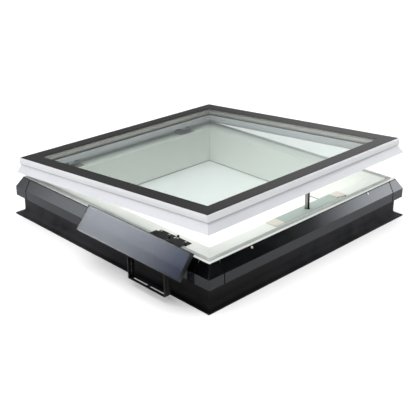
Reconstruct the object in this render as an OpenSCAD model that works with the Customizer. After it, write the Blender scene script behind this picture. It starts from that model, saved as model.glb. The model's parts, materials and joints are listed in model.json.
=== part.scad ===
// Opening flat-roof window: a flanged upstand, an insulated white frame with dark cladding, a glazed
// sash on two hinges, a chain opener in the opening rail and a solar panel hung on one side.
// Origin: centre of the base, on the roof deck. -Y is the opening side, +Y the hinge side,
// -X the solar panel's side. The sash is drawn part open, as the chain holds it.

/* [Overall] */
// Width over the cladding, along the hinges
window_x = 1040; // [880:10:1300]
// Depth over the cladding, from the opening side to the hinge side
window_y = 1040; // [880:10:1300]
// Height of the white frame's top above the roof deck
frame_h = 152; // [142:2:190]
// How far the sash is drawn open, in degrees
rest_open = 4.89; // [0:0.01:7.5]

/* [Upstand and frame] */
// How far the upstand's wall stands in from the cladding's face
wall_in = 20; // [16:1:24]
// Thickness of the upstand's wall and base web
upstand_t = 4; // [3:0.5:6]
// Width of the flange outside the upstand's wall
flange_w = 27; // [24:1:60]
// Thickness of the flange
flange_t = 5; // [3:0.5:8]
// Radius of the fillet between flange and wall
flange_fillet = 20; // [8:1:22]
// Width of the white frame's section
frame_w = 80; // [78:1:100]
// Outer walls of the white frame's section
frame_wall = 3; // [2.5:0.25:4]
// Thickness of the frame's solid head above its foam cores
frame_head = 14; // [13:0.5:20]
// Width of the groove for the weather seal
seal_groove_w = 9; // [8:0.5:10]
// Depth of the groove for the weather seal
seal_groove_d = 6; // [5:0.5:8]
// How far the weather seal stands above the frame
seal_up = 6; // [4:0.5:6]
// Radius of the four fixing holes in the base
fixing_r = 3.25; // [2.5:0.25:4]

/* [Cladding] */
// Height of the cladding, from its drip edge to the frame's top
cladding_h = 74; // [60:1:84]
// Height of the cladding's upright face
cladding_face_h = 36; // [30:1:42]
// How far the bevel leans in at its top
bevel_in = 22.4; // [18:0.2:22.6]
// Thickness of the aluminium sheet
cladding_t = 2; // [1.5:0.25:2]
// Length of each corner piece's leg
corner_leg = 65; // [50:1:90]
// Open joint between a corner piece and the straight piece beside it
joint_gap = 2.5; // [1:0.5:4]

/* [Sash and glass] */
// Width of the glass outside the sash's inner wall
glass_lap = 50; // [48:1:56]
// Thickness of the outer pane
outer_pane_t = 6; // [5:0.5:8]
// Gap between the panes
glass_gap = 18; // [14:1:20]
// Thickness of the laminated inner pane
inner_pane_t = 8; // [6:0.5:10]
// Height of the glass top above the frame when shut
glass_top_up = 79; // [78:1:90]

/* [Hinges] */
// Distance of each hinge from the middle of the window
hinge_x = 300; // [200:10:340]
// Length of a hinge
hinge_l = 80; // [60:2:100]
// Radius of the hinge pin
hinge_pin_r = 3; // [2.5:0.25:3.5]
// Height of the hinge axis above the frame's top
hinge_up = 9; // [8.5:0.5:10]

/* [Chain opener] */
// Place of the chain along the opening rail
chain_x = 38; // [20:1:60]
// Pitch of the chain
chain_pitch = 10; // [9:0.5:10.5]
// Radius of the chain's rollers
roller_r = 2.5; // [2:0.1:2.8]
// Depth of the chain's plates
plate_d = 12; // [10:0.5:12]
// Width over the chain's outer plates
chain_w = 12; // [12:0.5:14]
// Number of teeth on the sprocket
sprocket_teeth = 6; // [6:1:6]
// Radius of the pin that holds the chain to the sash
head_pin_r = 2.5; // [2:0.25:3]

/* [Solar panel] */
// Length of the panel along the window's side
panel_l = 500; // [400:10:560]
// Width of the panel's face
panel_w = 94.7; // [80:0.1:100]
// Thickness of the panel
panel_t = 17; // [14:0.5:22]
// Lean of the panel's face from upright, in degrees
panel_lean = 38; // [30:1:45]
// Thickness of the panel's steel brackets
bracket_t = 2; // [1.5:0.25:2]

/* [Hidden] */
$fn = 48;

// Clearances
fit = 0.05;          // running fit of a pin, on the radius
press = 0.02;        // close fit of pieces of one body, on the radius
seat = 0.3;          // gap at a soft or curved face
eps = 1;             // how far a cutter runs past a face

// Sides, counted anticlockwise from the opening side: each turns the rail at -Y into its place
FRONT = 0;
RIGHT = 1;
BACK = 2;
LEFT = 3;
reach = 60;          // how far a rail's mitre runs outside the cladding
depth = 200;         // how far a rail's mitre runs inside it
tall = 400;

function side_len(side) = side % 2 == 0 ? window_x : window_y;
function side_off(side) = side % 2 == 0 ? window_y / 2 : window_x / 2;

// Insets from the cladding's outer face, and heights above the deck
wall_inner = wall_in + upstand_t;
frame_inner = wall_inner + frame_w;
clad_low = frame_h - cladding_h;
clad_bend = clad_low + cladding_face_h;
upstand_top = frame_h - 12;          // the wall ends under the frame's rebate
head_low = frame_h - frame_head;
ridge_in = 50;       // outer edge of the raised bead on the frame's top
ridge_w = 3;
ridge_up = 1.5;
seal_in = 36;        // outer edge of the weather seal's groove
lip_w = 10;          // return at the cladding's drip edge
core_web = 3;        // web between the two foam cores
core_split = 61;     // inset of that web
clad_screw_r = 2;
clad_screw_l = 12;
clad_screw_down = 5.5; // from the frame's top to a cladding screw
clad_screw_at = 0.3; // its share of a side's length, from the middle
covered_screw_at = 0.05; // the same for the screw that the solar panel covers
clip_at = 0.34;      // a clip's share of a side's length, from the middle
clip_l = 40;
clip_h = 8;
fixing_in = 82;      // inset of the fixing holes
fixing_depth = 40;
fixing_room = 6;     // radius of the hole in the foam over a fixing hole

// The hinge axis runs along X over the back rail
axis_in = 52;
axis_y = window_y / 2 - axis_in;
axis_z = frame_h + hinge_up;

// The sash, in its shut place
glass_top = frame_h + glass_top_up;
pane_low = glass_top - outer_pane_t;
bond_t = 1;
seat_top = pane_low - bond_t;
cavity_low = pane_low - glass_gap;
inner_low = cavity_low - inner_pane_t;
glazing_seal_t = 1;
ledge_top = inner_low - glazing_seal_t;
glass_in = 22;                       // inset of the glass's edge
sash_inner = glass_in + glass_lap;
inner_pane_in = sash_inner - 11;
rebate_in = inner_pane_in - 3;
spacer_w = 10;
spacer_in = sash_inner + 1 - spacer_w;
rib_low = frame_h + 9;
rib_out = 30;
rib_in = 52;
sash_low = frame_h + 25;
skirt_low = frame_h + 21;
skirt_out = 6;
skirt_top = frame_h + 52;
skirt_t = 3.2;
skirt_room = frame_h + 38;           // top of the hollow behind the skirt
shoulder_in = 26;
chamber_wall = 3.5;

// Hinges
knuckle_r = hinge_pin_r + 3;
leaf_t = 2.5;
knuckle_gap = 0.5;
knuckle_l = (hinge_l - 2 * knuckle_gap) / 3;
leaf_edge = axis_in + 2;             // inset of a leaf's edge next to the knuckles
frame_leaf_w = 34;
sash_leaf_w = sash_inner - leaf_edge - 1;
hinge_screw_r = 2;
hinge_screw_l = 10;
screw_head_r = 3.6;
screw_head_t = 1.6;
leaf_screw_at = 0.6;                 // share of a leaf's width from the knuckles to its screws
neck = 6;                            // width of the web between a leaf and its knuckles

// Chain opener, in the opening rail
chain_in = 79;                       // inset of the chain's line
chain_y = -window_y / 2 + chain_in;
mesh_z = frame_h - 15;               // height at which the sprocket drives the chain
head_z = frame_h + 16;               // height of the chain's head pin when shut
plate_t = 1.5;
plate_over = chain_pitch / 2 - 0.4;  // how far a plate runs past its pins
plate_gap = 0.1;
chain_pin_r = 1.5;
rivet_up = 0.2;                      // how far a chain pin stands out of its plates
inner_gap = chain_w - 4 * plate_t - 2 * plate_gap;
head_len = 12;                       // from the head pin to the first chain pin
lug_w = inner_gap - 0.2;
lug_r = 5.5;
opener_floor = upstand_t;
links = floor((head_z - head_len - plate_over - opener_floor - 5) / chain_pitch);
sprocket_r = sprocket_teeth * chain_pitch / (2 * PI);
tooth_w = 0.26 * chain_pitch;
tooth_t = 4;
tooth_up = 1.2;
root_r = sprocket_r - roller_r - 0.8;
plate_clear = 0.75;                  // between the drive shaft and the chain's plates
shaft_r = sprocket_r - plate_d / 2 - plate_clear;
shaft_side = 2.5;                    // room on each side of the chain in its magazine
housing_t = 2;
housing_out = 55;                    // inset of the housing's outer face
housing_in = frame_inner - frame_wall;
housing_x0 = -150;
housing_x1 = 231;
housing_top = frame_h;
pocket_gap = 0.5;
cover_x0 = -109;
cover_x1 = 190;
cover_t = 2;
end_l = 44;
cover_end_up = 3.2;
outlet_w = 18;
outlet_l = 21;
gearbox_l = 40;
motor_r = 14;
motor_l = 96;
cell_r = 9.8;
battery_l = 120;
sensor_x = 221;
sensor_r = 2.8;

// Solar panel: its top front edge, and the brackets under it
panel_gap = 15.6;                    // from the cladding's face out to the panel's top front edge
panel_top = frame_h + 40;
tray_wall = 2;
cell_t = 1;
panel_glass_t = 3.2;
panel_border = 3;
arm_end_in = 82;                     // inset of an arm's inner end on the frame
gland_in = arm_end_in + 2;           // the gland's middle, level with an arm's inner end
gland_r = 5;
gland_nut_h = 4;
gland_cap_h = 3;
gland_cap_r = [4, 2.6];              // at its foot and its top
arm_hole_r = 2.1;
arm_screw_l = 10;
arm_screw_y = 50;                    // down the panel's back, from its top edge
arm_screw_x = 18;                    // each way from the arm's middle
arm_w = [69, 65];
arm_from_end = [172, 100];           // from the panel's end to each arm
arm_step_in = 56;                    // where an arm steps up over the weather seal
arm_over = seal_up + 0.5;
arm_drop = 42;                       // length of an arm's leg down the panel's back
stirrup_w = 26;
stirrup_t = 2.5;
stirrup_gap = 36;                    // from the cladding's face out to the stirrup
stirrup_from_end = 71;
stirrup_l = 175;
stirrup_low = 27;
stirrup_tab = 24;
stirrup_screw_y = 76;
stirrup_rise = 76;                   // height of the pierced stretch of its legs
leg_holes = [0.16, 0.46, 0.76];      // round holes of a leg, as shares of that height
leg_slots = [0.26, 0.56];            // short slots between them
leg_hole_r = 2.4;
leg_slot_l = 7;
stirrup_slot_end = 14;               // from the stirrup's end to its roof slot
slot_r = 3.5;
slot_l = 68;
panel_screw_r = 2;
panel_screw_l = 8;
sensor_in = 51.9;

// A point turned open with the sash about the hinge axis, as [y, z]
function opened(y, z, a) = [
    axis_y + (y - axis_y) * cos(a) + (z - axis_z) * sin(a),
    axis_z - (y - axis_y) * sin(a) + (z - axis_z) * cos(a)
];
head_at = opened(chain_y, head_z, rest_open);
chain_lean = atan2(head_at[0] - chain_y, head_at[1] - mesh_z);
chain_out = norm([head_at[0] - chain_y, head_at[1] - mesh_z]);
mesh_share = (chain_out - head_len) / chain_pitch;
tooth_turn = (mesh_share - floor(mesh_share) - 0.5) * 360 / sprocket_teeth;

// ---- shared shapes ----

// Turns the opening side's rail into another side's place: children are drawn with Y as the
// inset from the cladding's face and X along the rail, from its middle
module at_side(side)
    rotate([0, 0, 90 * side]) translate([0, -side_off(side), 0]) children();

// One rail of a ring with mitred ends; the outline is [inset, height]
module rail(side, outline)
    at_side(side) intersection() {
        rotate([90, 0, 90])
            linear_extrude(side_len(side) + 2 * reach, center = true) polygon(outline);
        linear_extrude(tall) polygon([
            [-side_len(side) / 2 - reach, -reach], [side_len(side) / 2 + reach, -reach],
            [side_len(side) / 2 - depth, depth], [-side_len(side) / 2 + depth, depth]
        ]);
    }

module ring(outline)
    for (side = [FRONT, RIGHT, BACK, LEFT]) rail(side, outline);

// A flat plate that fills the window to an inset
module plate(inset, low, thick)
    translate([-window_x / 2 + inset, -window_y / 2 + inset, low])
        cube([window_x - 2 * inset, window_y - 2 * inset, thick]);

// A box from one corner to the opposite one
module block(a, b)
    translate(a) cube(b - a);

// Draws the sash's pieces part open
module on_sash()
    translate([0, axis_y, axis_z]) rotate([-rest_open, 0, 0]) translate([0, -axis_y, -axis_z])
        children();

function band(a, b, low, high) = [[a, low], [b, low], [b, high], [a, high]];

// A screw whose shank runs down from the head's underside at z = 0
module screw(shank_r, shank_l, head_r, head_t) {
    translate([0, 0, -shank_l]) cylinder(r = shank_r, h = shank_l);
    cylinder(r1 = head_r, r2 = head_r * 0.8, h = head_t);
}

// A hole for a screw's shank, from its tip to a height over z = 0
module screw_hole(shank_r, shank_l, over)
    translate([0, 0, -shank_l]) cylinder(r = shank_r + press, h = shank_l + over);

// ---- upstand and frame ----

module fixing_places()
    for (sx = [-1, 1], sy = [-1, 1])
        translate([sx * (window_x / 2 - fixing_in), sy * (window_y / 2 - fixing_in), 0])
            children();

module upstand() {
    flange_edge = wall_in - flange_w;
    arc = [for (i = [0:6]) [
        wall_in - flange_fillet + flange_fillet * sin(i * 15),
        flange_t + flange_fillet - flange_fillet * cos(i * 15)
    ]];
    color("#1d1d1f") difference() {
        ring(concat(
            [[flange_edge, 0], [flange_edge, flange_t]], arc,
            [[wall_in, upstand_top], [wall_inner, upstand_top], [wall_inner, upstand_t],
             [frame_inner, upstand_t], [frame_inner, 0]]
        ));
        fixing_places() translate([0, 0, -eps]) cylinder(r = fixing_r, h = upstand_t + 2 * eps);
    }
}

// Space in the opening rail for the opener's housing
module opener_pocket(low, high)
    at_side(FRONT) block(
        [housing_x0 - pocket_gap, housing_out - pocket_gap, low],
        [housing_x1 + pocket_gap, housing_in, high]
    );

// Screw places of each hinge leaf on the frame
module frame_leaf_places()
    at_side(BACK) for (s = [-1, 1], i = [-1, 1])
        translate([s * hinge_x + i * hinge_l / 3, leaf_edge + frame_leaf_w * leaf_screw_at, frame_h])
            children();

// Screw places on the cladding's bevel, with Z out of its face. On the panel's side the rear screw
// sits further in, where the panel covers it.
function clad_screw_shares(side) = [side == LEFT ? covered_screw_at : -clad_screw_at, clad_screw_at];

module clad_screw_places()
    for (side = [FRONT, RIGHT, BACK, LEFT], share = clad_screw_shares(side)) at_side(side)
        translate([
            share * side_len(side),
            bevel_in * (1 - clad_screw_down / (frame_h - clad_bend)),
            frame_h - clad_screw_down
        ]) rotate([atan2(frame_h - clad_bend, bevel_in), 0, 0]) children();

module frame_profile() {
    seal_end = seal_in + seal_groove_w;
    chamber_high = head_low;
    inner = frame_inner;
    outer = wall_inner;
    color("#eceef0") difference() {
        ring([
            [outer, upstand_t], [outer + frame_wall, upstand_t], [outer + frame_wall, chamber_high],
            [core_split, chamber_high], [core_split, upstand_t],
            [core_split + core_web, upstand_t], [core_split + core_web, chamber_high],
            [inner - frame_wall, chamber_high], [inner - frame_wall, upstand_t], [inner, upstand_t],
            [inner, frame_h], [ridge_in + ridge_w, frame_h], [ridge_in + ridge_w, frame_h + ridge_up],
            [ridge_in, frame_h + ridge_up], [ridge_in, frame_h], [seal_end, frame_h],
            [seal_end, frame_h - seal_groove_d], [seal_in, frame_h - seal_groove_d],
            [seal_in, frame_h], [bevel_in + cladding_t + 0.2, frame_h], [outer, frame_h - 3]
        ]);
        opener_pocket(upstand_t - eps, frame_h + eps);
        frame_leaf_places() screw_hole(hinge_screw_r, hinge_screw_l, tall);
        arm_places() translate([0, 0, frame_h - arm_screw_l]) cylinder(r = arm_hole_r, h = tall);
        clad_screw_holes();
        at_side(FRONT) translate([sensor_x, sensor_in, frame_h]) cylinder(r = sensor_r + seat, h = tall);
    }
}

module core_outer()
    color("#8f9296") difference() {
        ring(band(wall_inner + frame_wall, core_split, upstand_t, head_low));
        opener_pocket(upstand_t - eps, tall);
    }

module core_inner()
    color("#85888c") difference() {
        ring(band(core_split + core_web, frame_inner - frame_wall, upstand_t, head_low));
        opener_pocket(upstand_t - eps, tall);
        fixing_places() translate([0, 0, -eps]) cylinder(r = fixing_room, h = fixing_depth);
    }

module weather_seal() {
    mid = seal_in + seal_groove_w / 2;
    foot = seal_groove_w / 2 - seat;
    bulb = foot - 0.6;
    bulb_z = frame_h + seal_up - bulb;
    top = [for (i = [0:6]) [mid + bulb * cos(i * 30), bulb_z + bulb * sin(i * 30)]];
    color("#9b9ea0") ring(concat(
        [[mid - foot, frame_h - seal_groove_d], [mid + foot, frame_h - seal_groove_d],
         [mid + foot, frame_h - 1], [mid + bulb, frame_h]], top,
        [[mid - bulb, frame_h], [mid - foot, frame_h - 1]]
    ));
}

// ---- cladding ----

cladding_outline = [
    [0, clad_low], [0, clad_bend], [bevel_in, frame_h], [bevel_in + cladding_t, frame_h],
    [cladding_t, clad_bend], [cladding_t, clad_low + cladding_t], [lip_w, clad_low + cladding_t],
    [lip_w, clad_low]
];

module clad_screw_holes()
    clad_screw_places() screw_hole(clad_screw_r, clad_screw_l, tall);

module cladding(side)
    color("#23252c") difference() {
        rail(side, cladding_outline);
        for (s = [-1, 1]) at_side(side)
            translate([s * side_len(side) / 2 - (corner_leg + joint_gap), -eps, -eps])
                cube([2 * (corner_leg + joint_gap), depth, tall]);
        clad_screw_holes();
    }

// A corner piece, named by the side before it, counted anticlockwise
module corner(side)
    color("#1f2127") intersection() {
        union() {
            rail(side, cladding_outline);
            rail((side + 1) % 4, cladding_outline);
        }
        at_side(side) translate([side_len(side) / 2 - corner_leg, -eps, -eps])
            cube([corner_leg + eps, corner_leg + eps, tall]);
    }

module cladding_clips() {
    clip_z = (clad_low + clad_bend) / 2;
    color("#2a2a2c") for (side = [FRONT, RIGHT, BACK, LEFT], i = [-1, 0, 1]) at_side(side)
        translate([i * side_len(side) * clip_at, 0, clip_z])
            block([-clip_l / 2, cladding_t, 0], [clip_l / 2, wall_in, clip_h]);
}

module cladding_screws()
    color("#c9cbce") clad_screw_places() screw(clad_screw_r, clad_screw_l, 4, 2);

// ---- hinges ----

// Draws on both hinges, at the axis with X along it
module at_hinges()
    for (s = [-1, 1]) translate([s * hinge_x, axis_y, axis_z]) children();

module knuckle(from, long)
    translate([from, 0, 0]) rotate([0, 90, 0]) cylinder(r = knuckle_r, h = long);

module knuckle_bore()
    translate([-hinge_l, 0, 0]) rotate([0, 90, 0]) cylinder(r = hinge_pin_r + fit, h = 2 * hinge_l);

module hinge_frame_leaves() {
    edge = leaf_edge - axis_in;
    color("#b9bcc0") difference() {
        at_hinges() difference() {
            union() {
                for (from = [-hinge_l / 2, hinge_l / 2 - knuckle_l]) {
                    knuckle(from, knuckle_l);
                    block([from, -edge - neck, -hinge_up], [from + knuckle_l, -edge, 0]);
                }
                block([-hinge_l / 2, -edge - frame_leaf_w, -hinge_up],
                      [hinge_l / 2, -edge, leaf_t - hinge_up]);
            }
            knuckle_bore();
        }
        frame_leaf_places() screw_hole(hinge_screw_r, eps, leaf_t + eps);
    }
}

module hinge_pins()
    color("#8d9094") at_hinges() translate([-hinge_l / 2, 0, 0]) rotate([0, 90, 0])
        cylinder(r = hinge_pin_r, h = hinge_l);

module hinge_frame_screws()
    color("#a9acb0") frame_leaf_places() translate([0, 0, leaf_t])
        screw(hinge_screw_r, hinge_screw_l, screw_head_r, screw_head_t);

module sash_leaf_places()
    at_side(BACK) for (s = [-1, 1], i = [-1, 1])
        translate([s * hinge_x + i * hinge_l / 3, leaf_edge + sash_leaf_w * leaf_screw_at, sash_low])
            rotate([180, 0, 0]) children();

module hinge_sash_leaves() {
    edge = leaf_edge - axis_in;
    up = sash_low - axis_z;
    color("#b9bcc0") on_sash() difference() {
        at_hinges() difference() {
            union() {
                knuckle(-knuckle_l / 2, knuckle_l);
                block([-knuckle_l / 2, -edge - neck, 0], [knuckle_l / 2, -edge, up]);
                block([-hinge_l / 2, -edge - sash_leaf_w, up - leaf_t], [hinge_l / 2, -edge, up]);
            }
            knuckle_bore();
        }
        sash_leaf_places() screw_hole(hinge_screw_r, eps, leaf_t + eps);
    }
}

module hinge_sash_screws()
    color("#a9acb0") on_sash() sash_leaf_places() translate([0, 0, leaf_t])
        screw(hinge_screw_r, hinge_screw_l, screw_head_r, screw_head_t);

// ---- sash and glass ----

module sash_profile() {
    hinge_room = hinge_l / 2 + 3;
    skirt_slope = (glass_in - skirt_out) / (skirt_top - skirt_low);
    chamber_out = rib_out + chamber_wall;
    chamber_in = rib_in - chamber_wall;
    color("#f0f1f5") on_sash() difference() {
        ring([
            [skirt_out, skirt_low], [glass_in, skirt_top], [shoulder_in, skirt_top],
            [shoulder_in, seat_top], [rebate_in, seat_top], [rebate_in, ledge_top],
            [sash_inner, ledge_top], [sash_inner, sash_low], [rib_in, sash_low], [rib_in, rib_low],
            [rib_out, rib_low], [rib_out, skirt_room],
            [skirt_out + skirt_t + skirt_slope * (skirt_room - skirt_low), skirt_room],
            [skirt_out + skirt_t, skirt_low]
        ]);
        ring(band(chamber_out, chamber_in, rib_low + chamber_wall, skirt_top - chamber_wall));
        for (s = [-1, 1]) at_side(BACK)
            block([s * hinge_x - hinge_room, axis_in - knuckle_r - 2, rib_low - eps],
                  [s * hinge_x + hinge_room, rib_in + eps, axis_z + knuckle_r + 2]);
        sash_leaf_places() screw_hole(hinge_screw_r, hinge_screw_l, eps);
        bracket_places() screw_hole(hinge_screw_r, hinge_screw_l, eps);
    }
}

// Moulding round the glass edge: its face swells from the foot to a bulge and back to the glass
module sash_trim() {
    top = glass_top - 1.5;
    foot = skirt_top;
    bulge = glass_in - 5;
    belly = 0.47;        // share of the height at which it swells most
    foot_back = 2;
    top_back = 3.4;
    lip = 0.3;
    steps = 10;
    face = [
        for (i = [0:steps])
            let (t = i / steps, below = 1 - t / belly, above = (t - belly) / (1 - belly))
            [bulge + (t < belly ? foot_back * below ^ 2 : top_back * above ^ 2), foot + t * (top - foot)]
    ];
    color("#e9eaee") on_sash() ring(concat(
        face, [[glass_in - lip, top], [glass_in - lip, pane_low - lip], [shoulder_in, pane_low - lip],
               [shoulder_in, foot]]
    ));
}

module glass_bond()
    color("#141416") on_sash() ring(band(shoulder_in + 1, rebate_in, seat_top, pane_low));

module outer_pane()
    color("#b9cdc6", 0.35) on_sash() plate(glass_in, pane_low, outer_pane_t);

module spacer()
    color("#6f6a62") on_sash() ring(band(spacer_in, spacer_in + spacer_w, cavity_low, pane_low));

module edge_seal()
    color("#18181a") on_sash() ring(band(inner_pane_in, spacer_in, cavity_low, pane_low));

module inner_pane()
    color("#b9cdc6", 0.35) on_sash() plate(inner_pane_in, inner_low, inner_pane_t);

module glazing_seal()
    color("#2b2b2d") on_sash() ring(band(inner_pane_in + 1, sash_inner - 1, ledge_top, inner_low));

// ---- chain opener ----

bracket_half = 22;
bracket_screw_x = 15;
ear_gap = lug_w / 2 + 0.2;             // from the chain's middle to each ear of its bracket
ear_t = 3;
ear_r = 6;

module bracket_places()
    at_side(FRONT) for (s = [-1, 1])
        translate([chain_x + s * bracket_screw_x, (rib_in + sash_inner) / 2, sash_low])
            rotate([180, 0, 0]) children();

module chain_bracket() {
    color("#9a9da1") on_sash() difference() {
        at_side(FRONT) union() {
            block([chain_x - bracket_half, rib_in + 0.5, sash_low - leaf_t],
                  [chain_x + bracket_half, chain_in + ear_r, sash_low]);
            for (x = [-ear_gap - ear_t, ear_gap]) translate([chain_x + x, chain_in, head_z]) {
                rotate([0, 90, 0]) cylinder(r = ear_r, h = ear_t);
                block([0, -ear_r, 0], [ear_t, ear_r, sash_low - head_z]);
            }
        }
        translate([chain_x, chain_y, head_z]) rotate([0, 90, 0])
            cylinder(r = head_pin_r + press, h = 2 * bracket_half, center = true);
        bracket_places() screw_hole(hinge_screw_r, eps, leaf_t + eps);
    }
}

module bracket_screws()
    color("#a9acb0") on_sash() bracket_places() translate([0, 0, leaf_t])
        screw(hinge_screw_r, hinge_screw_l, screw_head_r, screw_head_t);

module head_pin() {
    pin_half = ear_gap + ear_t;
    rivet_t = 1.5;
    color("#7d8084") on_sash() translate([chain_x - pin_half, chain_y, head_z]) rotate([0, 90, 0]) {
        cylinder(r = head_pin_r, h = 2 * pin_half);
        for (z = [-rivet_t, 2 * pin_half]) translate([0, 0, z])
            cylinder(r = head_pin_r + 1.2, h = rivet_t);
    }
}

// Draws on the chain: the head pin at the origin, the chain hanging down its own -Z
module on_chain()
    translate([chain_x, head_at[0], head_at[1]]) rotate([-chain_lean, 0, 0]) children();

function pin_drop(i) = -head_len - i * chain_pitch;

module chain_head()
    color("#b4b7ba") on_chain() difference() {
        rotate([0, 90, 0]) translate([0, 0, -lug_w / 2]) linear_extrude(lug_w) union() {
            circle(lug_r);
            translate([0, -lug_r]) square([head_len, 2 * lug_r]);
            translate([head_len, 0]) square([2 * plate_over, 2 * lug_r], center = true);
        }
        rotate([0, 90, 0]) cylinder(r = head_pin_r + fit, h = 2 * lug_w, center = true);
        translate([0, 0, pin_drop(0)]) rotate([0, 90, 0])
            cylinder(r = chain_pin_r + press, h = 2 * lug_w, center = true);
    }

// One chain plate between two pins, its inner face at x
module chain_plate(i, x)
    translate([x, 0, pin_drop(i + 1)]) difference() {
        translate([0, -plate_d / 2, -plate_over]) cube([plate_t, plate_d, chain_pitch + 2 * plate_over]);
        for (z = [0, chain_pitch]) translate([-eps, 0, z]) rotate([0, 90, 0])
            cylinder(r = chain_pin_r + press, h = plate_t + 2 * eps);
    }

module chain_inner_plates()
    color("#8a8d91") on_chain() for (i = [0:2:links - 1])
        for (x = [inner_gap / 2, -inner_gap / 2 - plate_t]) chain_plate(i, x);

module chain_outer_plates()
    color("#c2c4c7") on_chain() for (i = [1:2:links - 1])
        for (x = [chain_w / 2 - plate_t, -chain_w / 2]) chain_plate(i, x);

module chain_pins()
    color("#6c6f73") on_chain() for (i = [0:links]) translate([0, 0, pin_drop(i)])
        rotate([0, 90, 0]) cylinder(r = chain_pin_r, h = chain_w + 2 * rivet_up, center = true);

module chain_rollers()
    color("#55585c") on_chain() for (i = [1:links]) translate([0, 0, pin_drop(i)])
        rotate([0, 90, 0]) difference() {
            cylinder(r = roller_r, h = inner_gap - 0.2, center = true);
            cylinder(r = chain_pin_r + press, h = inner_gap, center = true);
        }

// Draws on the sprocket's shaft, turned to mesh with the chain
module on_shaft()
    translate([chain_x, chain_y - sprocket_r, mesh_z]) rotate([tooth_turn - chain_lean, 0, 0]) children();

module drive_sprocket()
    color("#74777b") on_shaft() difference() {
        union() {
            rotate([0, 90, 0]) cylinder(r = root_r, h = tooth_t, center = true);
            for (i = [0:sprocket_teeth - 1]) rotate([i * 360 / sprocket_teeth, 0, 0])
                translate([-tooth_t / 2, 0, -tooth_w / 2])
                    cube([tooth_t, sprocket_r + tooth_up, tooth_w]);
        }
        rotate([0, 90, 0]) cylinder(r = shaft_r + press, h = 2 * tooth_t, center = true);
    }

magazine = chain_w / 2 + shaft_side;   // half width of the chain's magazine
partition_t = 2;
gearbox_gap = 0.5;
gearbox_x = chain_x + magazine + partition_t + gearbox_gap;
gearbox_low = mesh_z - 16;
shelf_w = 2;                           // ledges that the gearbox rests on
shaft_in_box = 8;
motor_down = 3;                        // from the housing's top to the motor

module drive_shaft()
    color("#8f9296") translate([chain_x - magazine - partition_t, chain_y - sprocket_r, mesh_z])
        rotate([0, 90, 0])
            cylinder(r = shaft_r, h = 2 * (magazine + partition_t) + gearbox_gap + shaft_in_box);

module opener_housing() {
    y0 = housing_out;
    y1 = housing_in;
    color("#5b5f63") difference() {
        at_side(FRONT) union() {
            difference() {
                block([housing_x0, y0, opener_floor], [housing_x1, y1, housing_top]);
                block([housing_x0 + housing_t, y0 + housing_t, opener_floor + housing_t],
                      [housing_x1 - housing_t, y1 - housing_t, tall]);
            }
            for (x = [-magazine - partition_t, magazine]) translate([chain_x + x, 0, 0])
                block([0, y0 + housing_t, opener_floor + housing_t],
                      [partition_t, y1 - housing_t, housing_top - 1]);
            for (y = [y0 + housing_t, y1 - housing_t - shelf_w])
                block([gearbox_x, y, opener_floor + housing_t],
                      [gearbox_x + gearbox_l + motor_l, y + shelf_w, gearbox_low]);
        }
        translate([chain_x, chain_y - sprocket_r, mesh_z]) rotate([0, 90, 0])
            cylinder(r = shaft_r + fit, h = 4 * (magazine + partition_t), center = true);
    }
}

module gearbox()
    color("#3d4043") difference() {
        at_side(FRONT)
            block([gearbox_x, housing_out + housing_t + gearbox_gap, gearbox_low],
                  [gearbox_x + gearbox_l, housing_in - housing_t - gearbox_gap, housing_top - cover_t]);
        translate([gearbox_x - eps, chain_y - sprocket_r, mesh_z]) rotate([0, 90, 0])
            cylinder(r = shaft_r + fit, h = shaft_in_box + 2 * eps);
    }

module motor()
    color("#a3a6aa") at_side(FRONT)
        translate([gearbox_x + gearbox_l, chain_in - 1, housing_top - motor_r - motor_down])
            rotate([0, 90, 0]) {
                cylinder(r = motor_r, h = motor_l);
                translate([0, 0, motor_l]) cylinder(r = motor_r * 0.45, h = 5);
            }

// Circuit board on edge against the housing's inner wall, with a row of parts on it
module control_board() {
    board = [110, 1.6, housing_top - opener_floor - housing_t - 30];
    chip = [14, 6, 14];
    chip_step = 24;
    color("#2f6b45") at_side(FRONT)
        translate([housing_x0 + 20, housing_in - housing_t - 7, opener_floor + housing_t]) {
            cube(board);
            for (i = [0:3]) translate([10 + chip_step * i, -chip[1], board[2] / 2]) cube(chip);
        }
}

cell_step = 2 * cell_r + 0.4;
cell_low = opener_floor + housing_t + cell_r + 0.2;

module battery_cells()
    color("#3a6ea5") at_side(FRONT) for (i = [0:2])
        translate([gearbox_x + 6, chain_in - 1, cell_low + i * cell_step])
            rotate([0, 90, 0]) cylinder(r = cell_r, h = battery_l);

module opener_cover()
    color("#8fa39c") at_side(FRONT) difference() {
        block([cover_x0, housing_out, frame_h], [cover_x1, frame_inner - 0.6, frame_h + cover_t]);
        translate([chain_x, chain_in, frame_h - eps]) {
            for (s = [-1, 1]) translate([0, s * (outlet_l - outlet_w) / 2, 0])
                cylinder(r = outlet_w / 2, h = cover_t + 2 * eps);
            translate([-outlet_w / 2, -(outlet_l - outlet_w) / 2, 0])
                cube([outlet_w, outlet_l - outlet_w, cover_t + 2 * eps]);
        }
    }

// End cap of the opener's cover, with its upper edges bevelled
module cover_end(x) {
    edge = 1.2;
    inner = frame_inner - 0.6;
    top = frame_h + cover_end_up;
    color("#cfcabb") at_side(FRONT) translate([x, 0, 0]) rotate([90, 0, 90]) linear_extrude(end_l)
        polygon([
            [housing_out, frame_h], [inner, frame_h], [inner, top - edge], [inner - edge, top],
            [housing_out + edge, top], [housing_out, top - edge]
        ]);
}

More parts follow.
